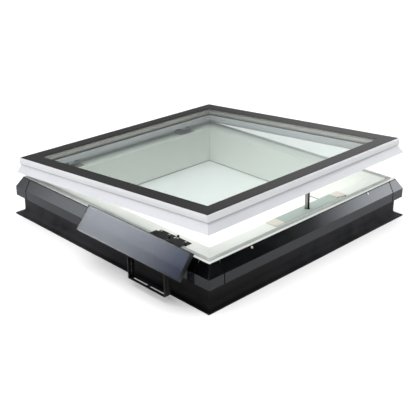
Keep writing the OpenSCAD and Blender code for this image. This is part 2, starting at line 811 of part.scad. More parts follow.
// Button that feels the sash close, with its lead to the opener's cover
module closing_sensor() {
    lead_r = 0.7;
    lead_z = frame_h + cover_end_up + lead_r + press;
    start = [cover_x1 - 4, housing_out + 7];
    end = [sensor_x, sensor_in];
    run = end - start;
    color("#17171a") at_side(FRONT) {
        translate([sensor_x, sensor_in, frame_h]) cylinder(r = sensor_r, h = cover_end_up + 2 * lead_r);
        translate([start[0], start[1], lead_z]) rotate([0, 90, atan2(run[1], run[0])])
            cylinder(r = lead_r, h = norm(run), $fn = 16);
    }
}

// ---- solar panel ----

panel_x1 = window_y / 2 - 61;        // the panel's ends, along the left rail
panel_x0 = panel_x1 - panel_l;
back_top = [-panel_gap + panel_t * cos(panel_lean), panel_top - panel_t * sin(panel_lean)];

// Inset of the panel's back plane at a height, and its height at an inset
function back_in(z) = back_top[0] - (back_top[1] - z) * tan(panel_lean);
function back_z(y) = back_top[1] - (back_top[0] - y) / tan(panel_lean);

// Draws in the panel's own frame: X along it, Y up its face from the top edge, Z out of its face
module on_panel()
    at_side(LEFT) translate([0, -panel_gap, panel_top]) rotate([90 - panel_lean, 0, 0]) children();

// The arms run from the frame's top over the seal and down the panel's back
function arm_x(i) = panel_x1 - arm_from_end[i] - arm_w[i];
arm_holes_x = [9, 46];
arm_holes_in = [62, 74];

// Places of the screws in the panel's back, with Z out of the back and down to the tray
module panel_screw_places()
    on_panel() translate([0, 0, -panel_t]) rotate([180, 0, 0]) {
        for (i = [0, 1], s = [-1, 1])
            translate([arm_x(i) + arm_w[i] / 2 + s * arm_screw_x, arm_screw_y, bracket_t])
                children();
        for (x = [stirrup_x0 - stirrup_tab / 2, stirrup_x0 + stirrup_l + stirrup_tab / 2])
            translate([x, stirrup_screw_y, stirrup_t]) children();
    }

module panel_tray()
    color("#26282c") difference() {
        on_panel() difference() {
            block([panel_x0, -panel_w, -panel_t], [panel_x1, 0, 0]);
            block([panel_x0 + tray_wall, -panel_w + tray_wall, -cell_t - panel_glass_t],
                  [panel_x1 - tray_wall, -tray_wall, eps]);
        }
        panel_screw_places() screw_hole(panel_screw_r, panel_screw_l + press, 0);
    }

module panel_cells()
    color("#1c2a4a") on_panel()
        block([panel_x0 + tray_wall + panel_border, -panel_w + tray_wall + panel_border,
               -cell_t - panel_glass_t],
              [panel_x1 - tray_wall - panel_border, -tray_wall - panel_border, -panel_glass_t]);

module panel_glass()
    color("#5f6b80", 0.5) on_panel()
        block([panel_x0 + tray_wall, -panel_w + tray_wall, -panel_glass_t],
              [panel_x1 - tray_wall, -tray_wall, 0]);

// The gland stands in a notch at the front arm's inner corner
module gland_place()
    at_side(LEFT) translate([arm_x(1), gland_in, frame_h]) children();

module cable_gland()
    color("#1b1b1d") gland_place() {
        cylinder(r = gland_r, h = gland_nut_h);
        translate([0, 0, gland_nut_h]) cylinder(r1 = gland_cap_r[0], r2 = gland_cap_r[1], h = gland_cap_h);
    }

module arm_hole(i, x, y)
    at_side(LEFT) translate([arm_x(i) + x, y, 0]) children();

// Every hole of the arms holds a screw
module arm_places()
    for (i = [0, 1], x = arm_holes_x, y = arm_holes_in) arm_hole(i, x, y) children();

module panel_arm(i) {
    low = frame_h + arm_over;
    high = low + bracket_t;
    foot = high - arm_drop * cos(panel_lean);
    thick = bracket_t / cos(panel_lean);
    color("#1a1a1c") difference() {
        at_side(LEFT) translate([arm_x(i), 0, 0]) rotate([90, 0, 90]) linear_extrude(arm_w[i]) polygon([
            [arm_end_in, frame_h], [arm_end_in, frame_h + bracket_t],
            [arm_step_in + bracket_t, frame_h + bracket_t], [arm_step_in + bracket_t, high],
            [back_in(high), high], [back_in(foot), foot], [back_in(foot) + thick, foot],
            [back_in(low) + thick, low], [arm_step_in, low], [arm_step_in, frame_h]
        ]);
        arm_places() cylinder(r = arm_hole_r, h = tall);
        gland_place() cylinder(r = gland_r + seat, h = tall);
        panel_screw_places() cylinder(r = panel_screw_r + press, h = 4 * bracket_t, center = true);
    }
}

module arm_screws()
    color("#b9bcc0") arm_places() translate([0, 0, frame_h + bracket_t])
        screw(arm_hole_r - press, arm_screw_l + bracket_t, 3.6, 2);

module panel_screws()
    color("#b9bcc0") panel_screw_places() screw(panel_screw_r, panel_screw_l, 3.6, 2);

stirrup_x0 = panel_x1 - stirrup_from_end - stirrup_l;

// A slot with round ends, cut along Z from its first centre
module slot(r, long, thick) {
    for (z = [0, long]) translate([0, 0, z]) rotate([0, 90, 0]) cylinder(r = r, h = thick, center = true);
    translate([-thick / 2, -r, 0]) cube([thick, 2 * r, long]);
}

// Steel strip bent to a U under the panel, slotted for fixing to the roof
module panel_stirrup() {
    out = -stirrup_gap - stirrup_w;
    inn = -stirrup_gap;
    x1 = stirrup_x0 + stirrup_l;
    hole_y = (out + inn) / 2;
    tab_top = -(back_top[0] - inn) / sin(panel_lean) - 1;
    color("#18181a") difference() {
        union() {
            for (x = [stirrup_x0, x1 - stirrup_t])
                at_side(LEFT) translate([x, 0, 0]) rotate([90, 0, 90]) linear_extrude(stirrup_t)
                    polygon([[out, stirrup_low], [inn, stirrup_low],
                             [inn, back_z(inn)], [out, back_z(out)]]);
            at_side(LEFT) block([stirrup_x0, out, stirrup_low], [x1, inn, stirrup_low + stirrup_t]);
            on_panel() for (x = [stirrup_x0 - stirrup_tab, x1 - stirrup_t])
                block([x, -panel_w + 3, -panel_t - stirrup_t],
                      [x + stirrup_tab + stirrup_t, tab_top, -panel_t]);
        }
        panel_screw_places() cylinder(r = panel_screw_r + press, h = 4 * stirrup_t, center = true);
        at_side(LEFT) {
            for (x = [stirrup_x0, x1]) translate([x, hole_y, 0]) {
                for (z = leg_holes) translate([0, 0, stirrup_low + z * stirrup_rise])
                    rotate([0, 90, 0]) cylinder(r = leg_hole_r, h = 4 * stirrup_t, center = true);
                for (z = leg_slots) translate([0, 0, stirrup_low + z * stirrup_rise])
                    slot(leg_hole_r, leg_slot_l, 4 * stirrup_t);
            }
            for (x = [stirrup_x0 + stirrup_slot_end, x1 - stirrup_slot_end - slot_l])
                translate([x + slot_r, hole_y, stirrup_low]) rotate([0, 90, 0])
                    slot(slot_r, slot_l - 2 * slot_r, 4 * stirrup_t);
        }
    }
}

upstand();
frame_profile();
core_outer();
core_inner();
weather_seal();
cladding(FRONT);  // cladding_front
cladding(RIGHT);  // cladding_right
cladding(BACK);  // cladding_back
cladding(LEFT);  // cladding_left
corner(FRONT);  // corner_front_right
corner(RIGHT);  // corner_back_right
corner(BACK);  // corner_back_left
corner(LEFT);  // corner_front_left
cladding_clips();
cladding_screws();
opener_housing();
opener_cover();
cover_end(cover_x0 - end_l);  // cover_end_left
cover_end(cover_x1);  // cover_end_right
motor();
gearbox();
control_board();
battery_cells();
closing_sensor();
hinge_frame_leaves();
hinge_pins();
hinge_frame_screws();
panel_tray();
panel_cells();
panel_glass();
cable_gland();
panel_arm(0);  // panel_arm_rear
panel_arm(1);  // panel_arm_front
panel_stirrup();
panel_screws();
arm_screws();
sash_profile();
sash_trim();
glass_bond();
outer_pane();
spacer();
edge_seal();
inner_pane();
glazing_seal();
hinge_sash_leaves();
hinge_sash_screws();
chain_bracket();
bracket_screws();
head_pin();
chain_head();
chain_outer_plates();
chain_inner_plates();
chain_pins();
chain_rollers();
drive_sprocket();
drive_shaft();
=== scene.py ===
# %% [markdown]
# # An opening flat-roof window, finished piece by piece
#
# The window stands on its black upstand, and a chain holds its sash part open. Every rail, pane and
# bracket is already cut to size in the fixed frame that is loaded first. What is left for Blender is how
# it looks: soft edges, small fittings with real drive recesses, and a finish for every surface.
# The frame is never moved or scaled, so each place below is read from it.

# %% Load the fixed frame
import json
import math

import bmesh
import bpy
import numpy as np
from mathutils import Matrix, Vector

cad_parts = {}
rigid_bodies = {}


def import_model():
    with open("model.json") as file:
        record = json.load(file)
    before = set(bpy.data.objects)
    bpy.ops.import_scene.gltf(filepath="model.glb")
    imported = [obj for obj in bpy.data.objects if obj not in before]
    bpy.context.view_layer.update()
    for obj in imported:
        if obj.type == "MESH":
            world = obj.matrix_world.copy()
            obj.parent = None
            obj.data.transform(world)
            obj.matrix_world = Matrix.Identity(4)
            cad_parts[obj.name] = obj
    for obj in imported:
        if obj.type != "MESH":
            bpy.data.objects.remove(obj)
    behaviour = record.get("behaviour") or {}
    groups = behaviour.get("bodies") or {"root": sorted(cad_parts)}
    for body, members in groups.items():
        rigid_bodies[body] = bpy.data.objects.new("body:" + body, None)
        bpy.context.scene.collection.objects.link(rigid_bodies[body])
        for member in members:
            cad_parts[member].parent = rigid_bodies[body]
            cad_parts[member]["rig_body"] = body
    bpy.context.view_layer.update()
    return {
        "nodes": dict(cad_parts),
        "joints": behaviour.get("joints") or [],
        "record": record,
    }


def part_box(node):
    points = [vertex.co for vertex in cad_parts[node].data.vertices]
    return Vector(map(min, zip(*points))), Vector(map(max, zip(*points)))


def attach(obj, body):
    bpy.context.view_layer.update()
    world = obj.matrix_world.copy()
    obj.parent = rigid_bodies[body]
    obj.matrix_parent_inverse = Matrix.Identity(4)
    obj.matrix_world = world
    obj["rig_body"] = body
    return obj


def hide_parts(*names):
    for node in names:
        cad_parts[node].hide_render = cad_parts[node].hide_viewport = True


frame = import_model()
MM = 0.001

# %% [markdown]
# ## Measure what the finishes hang on
#
# The base is centred on the origin, so the window's half width comes from its cladding, and the lie of
# the open sash from its hinge. Reading these, rather than writing them down again, keeps every
# finish in its place if the window is made in another size.

# %% Sizes read from the frame
half_width = -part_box("cladding_front")[0].y
frame_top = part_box("cladding_front")[1].z
hinge = next(j for j in frame["joints"] if j["name"] == "sash_hinge")
hinge_at = Vector(hinge["pos_m"])
sash_open = math.radians(-hinge["range_deg"][0])
to_shut = Matrix.Translation(hinge_at) @ Matrix.Rotation(sash_open, 4, "X") @ Matrix.Translation(-hinge_at)
glass_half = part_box("outer_pane")[1].x
print("half width", round(half_width, 4), "frame top", round(frame_top, 4))
print("half of the glass", round(glass_half, 4))

# %% [markdown]
# ## The camera
#
# The window is seen from over its front left corner, a little above, with a lens long enough to keep its
# sides close to parallel. The camera is given by what it aims at, its turn round the window, its height
# above the horizon and its distance, because those are what a person sets on a tripod.

# %% Camera
AIM = Vector((-0.0035, 0.0035, 0.0266))
CAMERA_TURN = math.radians(45)
CAMERA_RISE = math.radians(23.84)
CAMERA_AWAY = 3.163
CAMERA_ROLL = math.radians(0.33)
CAMERA_LENS, CAMERA_FILM = 71.24, 36

view_data = bpy.data.cameras.new("window_view")
view_data.lens = CAMERA_LENS
view_data.sensor_width = CAMERA_FILM
view_camera = bpy.data.objects.new("window_view", view_data)
bpy.context.scene.collection.objects.link(view_camera)
back = Vector((
    -math.sin(CAMERA_TURN) * math.cos(CAMERA_RISE),
    -math.cos(CAMERA_TURN) * math.cos(CAMERA_RISE),
    math.sin(CAMERA_RISE),
))
view_camera.location = AIM + back * CAMERA_AWAY
view_camera.rotation_mode = "QUATERNION"
aimed = (-back).to_track_quat("-Z", "Y")
view_camera.rotation_quaternion = aimed @ Matrix.Rotation(CAMERA_ROLL, 4, "Z").to_quaternion()
bpy.context.scene.camera = view_camera
bpy.context.scene.view_settings.view_transform = "Standard"
print("camera at", [round(c, 3) for c in view_camera.location])

# %% [markdown]
# ## One class for shader maths
#
# A finish is worked out by a tree of nodes. Wiring each Math node by hand hides what is meant, so one
# small class wraps a socket: Python's own signs add the Math nodes, and one method adds any other node,
# with its settings first and its sockets after.

# %% The Wire class
class Wire:
    """One value in a node tree. Signs between wires and numbers add the Math nodes."""

    def __init__(self, socket):
        self.socket, self.tree = socket, socket.id_data

    def node(self, kind, settings=None, sockets=None, output=0):
        """Adds a node: its settings (or a ramp's stops) are set first, then its sockets' values or links."""
        made = self.tree.nodes.new("ShaderNode" + kind)
        for key, value in (settings or {}).items():
            if key == "stops":
                ramp = made.color_ramp.elements
                while len(ramp) < len(value):
                    ramp.new(1.0)
                for stop, (at, shade) in zip(ramp, value):
                    stop.position, stop.color = at, shade
            else:
                setattr(made, key, value)
        for key, value in (sockets or {}).items():
            if isinstance(value, Wire):
                self.tree.links.new(value.socket, made.inputs[key])
            else:
                made.inputs[key].default_value = value
        return Wire(made.outputs[output])

    def maths(self, operation, *values):
        return self.node("Math", {"operation": operation}, dict(enumerate(values)))

    def __add__(self, other):
        return self.maths("ADD", self, other)

    def __sub__(self, other):
        return self.maths("SUBTRACT", self, other)

    def __rsub__(self, other):
        return self.maths("SUBTRACT", other, self)

    def __mul__(self, other):
        return self.maths("MULTIPLY", self, other)

    def __pow__(self, other):
        return self.maths("POWER", self, other)

    def __abs__(self):
        return self.maths("ABSOLUTE", self)

    def __gt__(self, other):
        return self.maths("GREATER_THAN", self, other)

    def __lt__(self, other):
        return self.maths("LESS_THAN", self, other)

    __radd__, __rmul__ = __add__, __mul__

    def step(self, low, high):
        """0 at low, 1 at high, and smooth between; low may be the larger."""
        return self.node("MapRange", {"interpolation_type": "SMOOTHSTEP"},
                         {"Value": self, "From Min": low, "From Max": high})

    def noise(self, size, detail=2.0):
        """Noise over this place, with lumps of that size in metres."""
        return self.node("TexNoise", None, {"Vector": self, "Scale": 1 / size, "Detail": detail})

    def parts(self):
        """The x, y and z of a vector."""
        split = self.node("SeparateXYZ", None, {0: self})
        return [Wire(out) for out in split.socket.node.outputs]


def shade(red, green, blue):
    """A colour given in 0 to 255, as the light values that a shader takes."""
    def light(c):
        c /= 255
        return c / 12.92 if c <= 0.04045 else ((c + 0.055) / 1.055) ** 2.4
    return light(red), light(green), light(blue), 1.0


def scaled(colour, by):
    return tuple(min(1.0, c * by) for c in colour[:3]) + (1.0,)


print("shade(128, 128, 128) =", [round(c, 3) for c in shade(128, 128, 128)])

# %% [markdown]
# ## Floor and studio light
#
# The window stands in a white tent: light comes softly from everywhere, most of it from above, and the dark
# cladding mirrors the tent's darker panels beside the camera and its bright ones further round. Lamps would
# show as spots in the cladding, so the tent is the world itself, with each panel a smooth lobe about a
# direction. The floor is a wide pale disc that glows a little, so that shadows on it stay faint.

# %% Floor
FLOOR_REACH = 60
PAPER_TONE = 0.78
PAPER_GLOW = 0.2
bpy.ops.object.select_all(action="DESELECT")
bpy.ops.mesh.primitive_circle_add(vertices=96, radius=FLOOR_REACH, fill_type="NGON", location=(0, 0, 0))
floor = bpy.context.object
floor.name = "floor"
floor_paint = bpy.data.materials.new("floor_paper")
floor_paint.use_nodes = True
paper = floor_paint.node_tree.nodes["Principled BSDF"].inputs
paper["Base Color"].default_value = (PAPER_TONE, PAPER_TONE, PAPER_TONE, 1)
paper["Emission Color"].default_value = (1, 1, 1, 1)
paper["Emission Strength"].default_value = PAPER_GLOW
paper["Roughness"].default_value = 0.9
paper["Specular IOR Level"].default_value = 0.1
floor.data.materials.append(floor_paint)
print("floor", FLOOR_REACH, "metres to its edge")

# %% The tent
tent = bpy.data.worlds.new("tent")
bpy.context.scene.world = tent
tent.use_nodes = True
tent.node_tree.nodes.clear()
TENT_SIDE = 0.37
TENT_TOP = 2.75
# Each panel: what it does, the way it lies, the cosines where it starts and is full, and how much.
TENT_PANELS = [
    ("adds", (-1.00, -0.10, 0.20), 0.20, 0.95, 0.42),
    ("cuts", (0.10, -1.00, 0.20), 0.20, 0.90, 0.58),
    ("cuts", (0.55, -0.78, 0.30), 0.88, 0.975, 0.92),
    ("cuts", (-0.78, 0.53, 0.33), 0.90, 0.985, 0.98),
    ("cuts", (0.50, 0.78, 0.37), 0.80, 0.96, 0.48),
    ("adds", (0.82, -0.53, 0.21), 0.9885, 0.9985, 12.5),
    ("adds", (-0.645, 0.72, 0.262), 0.990, 0.9995, 7.0),
    ("adds", (-0.44, 0.78, 0.45), 0.9765, 0.9955, 3.4),
    ("adds", (0.85, 0.40, 0.38), 0.90, 0.99, 0.45),
]
looking = Wire(tent.node_tree.nodes.new("ShaderNodeTexCoord").outputs["Generated"])


def towards(direction):
    """1 where the tent is seen in that direction, falling to 0 at right angles to it."""
    unit = Vector(direction).normalized()
    return looking.node("VectorMath", {"operation": "DOT_PRODUCT"}, {0: looking, 1: unit}, "Value")


up = looking.parts()[2]
overhead, below_floor = up.step(0.3, 0.95), up.step(0, -0.01)
tent_light = overhead * TENT_TOP + below_floor + TENT_SIDE
for does, direction, edge, heart, amount in TENT_PANELS:
    panel = towards(direction).step(edge, heart) * amount
    tent_light = tent_light + panel if does == "adds" else tent_light * (1 - panel)
glow = tent_light.node("Background", None, {"Strength": tent_light})
tent_out = tent.node_tree.nodes.new("ShaderNodeOutputWorld")
tent.node_tree.links.new(glow.socket, tent_out.inputs["Surface"])
print("tent with", len(TENT_PANELS), "panels")

# %% [markdown]
# ## What every finish is made of
#
# Painted, moulded and rolled surfaces share the same things at different sizes: a broad mottling of
# colour and gloss, and a fine grain that breaks up the light. One function builds these two, and each
# finish below adds only what is its own. All patterns are laid out in metres on the piece itself.

# %% A finish and its parts
def blank(name):
    """A new finish, empty but for its output, and the wire of a point's place on the piece."""
    made = bpy.data.materials.new(name)
    made.use_nodes = True
    made.node_tree.nodes.clear()
    place = Wire(made.node_tree.nodes.new("ShaderNodeTexCoord").outputs["Object"])
    return made, place


def mixed(amount, first, second):
    """first where amount is 0 and second where it is 1, as colours."""
    return amount.node("Mix", {"data_type": "RGBA"}, {0: amount, 6: first, 7: second}, 2)


def bumped(height, depth, over=None):
    """The normal of a surface raised by depth metres where height is 1."""
    sockets = {"Height": height, "Distance": depth}
    if over:
        sockets["Normal"] = over
    return height.node("Bump", None, sockets)


def closed_off(made, shader):
    """Wires a shader to its material's output."""
    out = made.node_tree.nodes.new("ShaderNodeOutputMaterial")
    made.node_tree.links.new(shader.socket, out.inputs["Surface"])
    return made


def coated(place, colour, gloss, normal, **fixed):
    """The Principled shader of a surface. What is the same all over is set on its own socket."""
    sockets = {"Base Color": colour, "Roughness": gloss, "Normal": normal}
    sockets.update({key.replace("_", " "): value for key, value in fixed.items()})
    return place.node("BsdfPrincipled", None, sockets)


def grained(place, colour, rough, mottle=0.05, mottle_size=0.05, grain=0.0008, depth=0.00003, **fixed):
    """A mottled, finely grained surface: the start of nearly every finish."""
    cloud = place.noise(mottle_size, 4)
    speck = place.noise(grain, 2)
    tone = mixed(cloud.step(0.25, 0.75), scaled(colour, 1 - mottle), scaled(colour, 1 + mottle))
    gloss = rough + (cloud - 0.5) * (0.25 * rough) + (speck - 0.5) * (0.15 * rough)
    return coated(place, tone, gloss, bumped(speck, depth), **fixed)


FINISHES = {}


def finish(slot, **made):
    """Adds the finish of one of the window's material slots."""
    material, place = blank(slot)
    FINISHES[slot] = closed_off(material, grained(place, **made))


print("a dark grey, lifted by half:", [round(c, 3) for c in scaled(shade(60, 60, 60), 1.5)])

# %% [markdown]
# ## White frame, sash and trim
#
# The frame and the sash are welded plastic: satin, nearly even in colour, with a faint long wave from
# the extruder and a weld line at each mitred corner. The weld is a shallow groove that a knife has
# cleaned, so it shows as a thin line in the bump and a slightly darker colour. A point lies on a mitre
# where its distances from the two middle lines are the same, once the sash has been turned shut.

# %% White finishes
def shut_place(place, open_piece):
    """The place a point has when the sash is shut: the sash's pieces are drawn part open."""
    if not open_piece:
        return place
    shift, turn, _ = to_shut.decompose()
    return place.node("Mapping", {"vector_type": "POINT"},
                      {"Vector": place, "Location": shift, "Rotation": turn.to_euler()})


trim_shaded_foot = min((to_shut @ v.co).z for v in frame["nodes"]["sash_trim"].data.vertices)


def white_plastic(slot, colour, rough, open_piece, weld=0.0006, foot=None, **fixed):
    """foot is the height where the piece stands on the next one; a dark line just above it is painted shade,
    for the shade in that joint.
    """
    material, place = blank(slot)
    x, y, z = shut_place(place, open_piece).parts()
    off_mitre = abs(abs(x) - abs(y))
    welded = off_mitre.step(weld, weld * 0.3)
    cloud = place.noise(0.12, 3)
    speck = place.noise(0.0012, 2)
    tone = mixed(cloud.step(0.3, 0.7), scaled(colour, 0.975), colour)
    tone = mixed(welded * 0.45, tone, scaled(colour, 0.55))
    if foot is not None:
        # painted shade: a dark line just above the foot, where the trim stands on the skirt
        tone = mixed((z - foot).step(0.004, 0.001) * 0.75, tone, scaled(colour, 0.35))
    normal = bumped(1 - welded, 0.0004, bumped(speck, 0.00001))
    gloss = rough + (cloud - 0.5) * 0.12
    FINISHES[slot] = closed_off(material, coated(place, tone, gloss, normal, **fixed))


white_plastic("frame_white", shade(241, 244, 238), 0.38, open_piece=False)
white_plastic("sash_white", shade(206, 207, 212), 0.34, open_piece=True)
white_plastic("trim_white", shade(206, 207, 210), 0.30, open_piece=True, foot=trim_shaded_foot)
print("white finishes:", sorted(FINISHES))

# %% [markdown]
# ## Black upstand, seals and foam
#
# The upstand is moulded with a matt grain. Its black is lightened in patches by a painted sheen, none at the
# front corner and growing away from it, where it is also a little rougher. Its inner lip is pale grey-green.
# The weather seal is soft rubber with a bloom on it. The foam cores, seen only where the frame is
# open underneath, are beads of foam pressed together, which a cell texture gives.

# %% Moulded and soft finishes
INNER_LIP = 0.9 * half_width
FRONT_CORNER = -2.1 * half_width
material, place = blank("upstand_black")
x, y, _ = place.parts()
from_middle = x.maths("MAXIMUM", abs(x), abs(y))
# painted sheen: lighter patches on the black, none at the front corner and growing away from it
painted_sheen = (x + y).step(FRONT_CORNER, 0) * place.noise(0.07, 4).step(0.1, 0.6)
grain = place.noise(0.0016, 2)
tone = mixed(painted_sheen, shade(6, 6, 8), shade(48, 48, 52))
# the upstand is pale grey-green inside INNER_LIP from the middle
tone = mixed(from_middle < INNER_LIP, tone, shade(150, 156, 152))
FINISHES["upstand_black"] = closed_off(
    material, coated(place, tone, 0.55 + painted_sheen * 0.15, bumped(grain, 0.00012), Specular_IOR_Level=0.14)
)
finish("clip_black", colour=shade(30, 30, 32), rough=0.5, mottle=0.1)
finish("seal_grey", colour=shade(204, 208, 205), rough=0.75, mottle=0.08, grain=0.0005, depth=0.00002)
finish("gasket_dark", colour=shade(40, 41, 43), rough=0.7, mottle=0.12, grain=0.0005, depth=0.00002)
finish("bond_black", colour=shade(20, 20, 22), rough=0.45, mottle=0.12)
finish("sensor_black", colour=shade(24, 24, 26), rough=0.35, mottle=0.1)
finish("bracket_black", colour=shade(12, 13, 14), rough=0.42, mottle=0.12, grain=0.0007, depth=0.00004,
       Specular_IOR_Level=0.3)


def pressed_foam(slot, colour, bead=0.004):
    material, place = blank(slot)
    cells = place.node("TexVoronoi", {"feature": "F1"}, {"Vector": place, "Scale": 1 / bead})
    tone = mixed(cells.step(0.2, 0.9), scaled(colour, 1.08), scaled(colour, 0.72))
    FINISHES[slot] = closed_off(material, coated(place, tone, 0.9 + cells * 0.05, bumped(1 - cells, 0.0006)))


pressed_foam("foam_grey", shade(146, 149, 152))
print("finishes so far:", len(FINISHES))

# %% [markdown]
# ## Powder-coated cladding
#
# The cladding is folded aluminium with an anthracite powder coat: a hard skin with the slight
# orange-peel waviness of melted powder, a fine sparkle, and enough gloss to mirror the tent. The coat
# is a metallic one, so part of the base is metal, which keeps the mirrored light strong. Along the cut
# top edge, and where a straight piece meets a corner piece, a darker matt band is painted shade, for the
# shadow line under the frame's rim and in the gaps between the pieces, and reads black.

# %% Cladding finishes
CUT_BAND = 0.0016
JOINT_BAND = 0.0022
COAT_TINT = (0.84, 0.91, 1.0, 1.0)
joint_at = (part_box("cladding_front")[1].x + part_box("corner_front_right")[0].x) / 2


def powder_coat(slot, colour, rough, metal, shaded_edges=True, peel=0.0022, flake=0.0009):
    """Along the cladding's cut top edge and its joints a darker matt band is painted shade; the flag turns
    it off for a piece that needs none.
    """
    material, place = blank(slot)
    x, y, z = place.parts()
    along = x.maths("MINIMUM", abs(x), abs(y))
    cloud = place.noise(0.09, 3)
    wave = place.noise(peel, 1)
    flakes = place.node("TexVoronoi", {"feature": "F1"}, {"Vector": place, "Scale": 1 / flake}, "Color")
    sparkle = flakes.parts()[0].step(0.93, 1.0)
    tone = mixed(cloud.step(0.25, 0.75), scaled(colour, 0.93), scaled(colour, 1.07))
    tone = mixed(sparkle * 0.5, tone, scaled(colour, 3.0))
    gloss = rough + (cloud - 0.5) * 0.08
    coat = coated(place, tone, gloss, bumped(wave, 0.000012), Metallic=metal, Coat_Weight=0.1,
                  Specular_IOR_Level=0.36, Specular_Tint=COAT_TINT)
    if not shaded_edges:
        FINISHES[slot] = closed_off(material, coat)
        return
    # painted shade: the darker matt band along the top edge and beside the joints
    shade_painted = coated(place, scaled(colour, 0.7), 0.7 + (cloud - 0.5) * 0.1, bumped(wave, 0.000012),
                  Specular_IOR_Level=0.1)
    cut = z.maths("MAXIMUM", z > frame_top - CUT_BAND, abs(along - joint_at) < JOINT_BAND)
    FINISHES[slot] = closed_off(material, place.node("MixShader", None, {0: cut, 1: coat, 2: shade_painted}))


powder_coat("cladding_dark", shade(9, 10, 13), 0.14, 0.3)
powder_coat("corner_dark", shade(9, 10, 13), 0.17, 0.3)
powder_coat("panel_frame_dark", shade(22, 21, 22), 0.34, 0.2, shaded_edges=False)
print("coat bare", CUT_BAND / MM, "mm down from the cut edge, and at the joints", round(joint_at, 4))

# %% [markdown]
# ## Metals
#
# Stainless screws, galvanised hinges and the nickel-plated chain differ in tint, in how rough they are
# and in the marks on them: the hinges show the crystals of the zinc, the chain fine rolling scratches.

# %% Metal finishes
def zinc(slot, colour, rough, crystal=0.006):
    material, place = blank(slot)
    cells = place.node("TexVoronoi", {"feature": "F1"}, {"Vector": place, "Scale": 1 / crystal}, "Color")
    patch = cells.parts()[0]
    tone = mixed(patch, scaled(colour, 0.82), scaled(colour, 1.1))
    gloss = rough + (patch - 0.5) * 0.2
    speck = place.noise(0.0006, 2)
    FINISHES[slot] = closed_off(material, coated(place, tone, gloss, bumped(speck, 0.000015), Metallic=1.0))


zinc("hinge_steel", shade(186, 189, 192), 0.4)
zinc("motor_steel", shade(170, 173, 176), 0.42, crystal=0.004)
finish("screw_steel", colour=shade(222, 214, 200), rough=0.32, mottle=0.06, mottle_size=0.004,
       grain=0.0004, depth=0.00001, Metallic=0.85)
finish("pin_steel", colour=shade(150, 152, 156), rough=0.3, mottle=0.08, mottle_size=0.01, Metallic=1.0)
finish("chain_bright", colour=shade(158, 156, 148), rough=0.34, mottle=0.08, mottle_size=0.006,
       grain=0.0004, depth=0.00001, Metallic=0.9)
finish("chain_dark", colour=shade(62, 60, 58), rough=0.42, mottle=0.12, mottle_size=0.006, Metallic=0.8)
finish("spacer_bar", colour=shade(176, 172, 166), rough=0.45, mottle=0.08, mottle_size=0.02, Metallic=0.3)
print("metal finishes ready")

# %% [markdown]
# ## The opener's plastics and its inner parts
#
# The cover strip is a soft grey-green, its end caps beige. Inside sit the housing, the gearbox, a
# circuit board and wrapped battery cells, which show only through the outlet or with the cover off.

# %% Opener finishes
finish("housing_grey", colour=shade(96, 100, 104), rough=0.55, mottle=0.08)
finish("gearbox_black", colour=shade(44, 46, 49), rough=0.45, mottle=0.1)
finish("cover_green_grey", colour=shade(176, 190, 183), rough=0.42, mottle=0.03, mottle_size=0.08)
finish("cap_beige", colour=shade(222, 218, 206), rough=0.45, mottle=0.03, mottle_size=0.03)
finish("board_green", colour=shade(38, 104, 66), rough=0.35, mottle=0.2, mottle_size=0.006)
finish("battery_wrap", colour=shade(44, 96, 158), rough=0.25, mottle=0.06, mottle_size=0.02)
print("opener finishes ready")

# %% [markdown]
# ## Glass
#
# The panes have to let daylight through to the shaft and the floor. A refracting glass shader blocks
# that light, so each face of a pane is a clear tinted shader with a mirror laid over it. The mirror
# grows towards grazing angles by Schlick's rule. The outer pane carries a dark ceramic border, printed
# on the glass, which covers the bond and the spacer. A mask of the distance from the glass's edge mixes it
# in, and the ground edge of the glass, past the print, is matt and darker.

# %% Pane finishes
BORDER = 0.053
GROUND_EDGE = 0.0004
CLEAR = (0.962, 0.983, 0.977, 1.0)
LAMP_TINT = (0.995, 0.998, 0.996, 1.0)
MIRROR_TINT = (0.93, 0.97, 0.96, 1.0)


def pane_shader(place, tint, least=0.04, grazing=1.0):
    """A pane's mirror goes from least, seen straight on, to grazing, seen along its face. Light that only
    passes through on its way to another surface meets a clear pane, so the shaft stays bright."""
    facing = place.node("LayerWeight", None, {"Blend": 0.5}, "Facing")
    mirror = least + (grazing - least) * facing ** 5
    clear = place.node("BsdfTransparent", None, {"Color": tint})
    sheen = place.node("BsdfGlossy", None, {"Color": MIRROR_TINT, "Roughness": 0.02})
    pane = place.node("MixShader", None, {0: mirror, 1: clear, 2: sheen})
    lamp = place.node("BsdfTransparent", None, {"Color": LAMP_TINT})
    seen = place.node("LightPath", None, None, "Is Camera Ray")
    return place.node("MixShader", None, {0: seen, 1: lamp, 2: pane})


material, place = blank("window_glass")
FINISHES["window_glass"] = closed_off(material, pane_shader(place, CLEAR, least=0.012, grazing=0.3))

material, place = blank("bordered_glass")
x, y, _ = shut_place(place, open_piece=True).parts()
from_middle = x.maths("MAXIMUM", abs(x), abs(y))
speck = place.noise(0.0009, 2)
grain = bumped(speck, 0.000002)
print_tone = mixed(speck, shade(30, 30, 30), shade(38, 38, 37))
edge_tone = mixed(speck, shade(8, 8, 9), shade(14, 14, 15))
ceramic = coated(place, print_tone, 0.06 + speck * 0.02, grain)
ground = coated(place, edge_tone, 0.6 + speck * 0.1, grain, Specular_IOR_Level=0.1)
rim = place.node("MixShader", None, {0: from_middle > glass_half - GROUND_EDGE, 1: ceramic, 2: ground})
clear_pane = pane_shader(place, CLEAR)
glass = place.node("MixShader", None, {0: from_middle > glass_half - BORDER, 1: clear_pane, 2: rim})
FINISHES["bordered_glass"] = closed_off(material, glass)
print("border", BORDER, "wide inside the glass edge at", round(glass_half, 3))

# %% [markdown]
# ## Solar panel
#
# Dark blue cells lie under a sheet of low-iron glass. Hair-thin silver fingers cross them side by side. They
# are too many to model, so the fraction left of a point's place, counted in finger pitches, draws them.

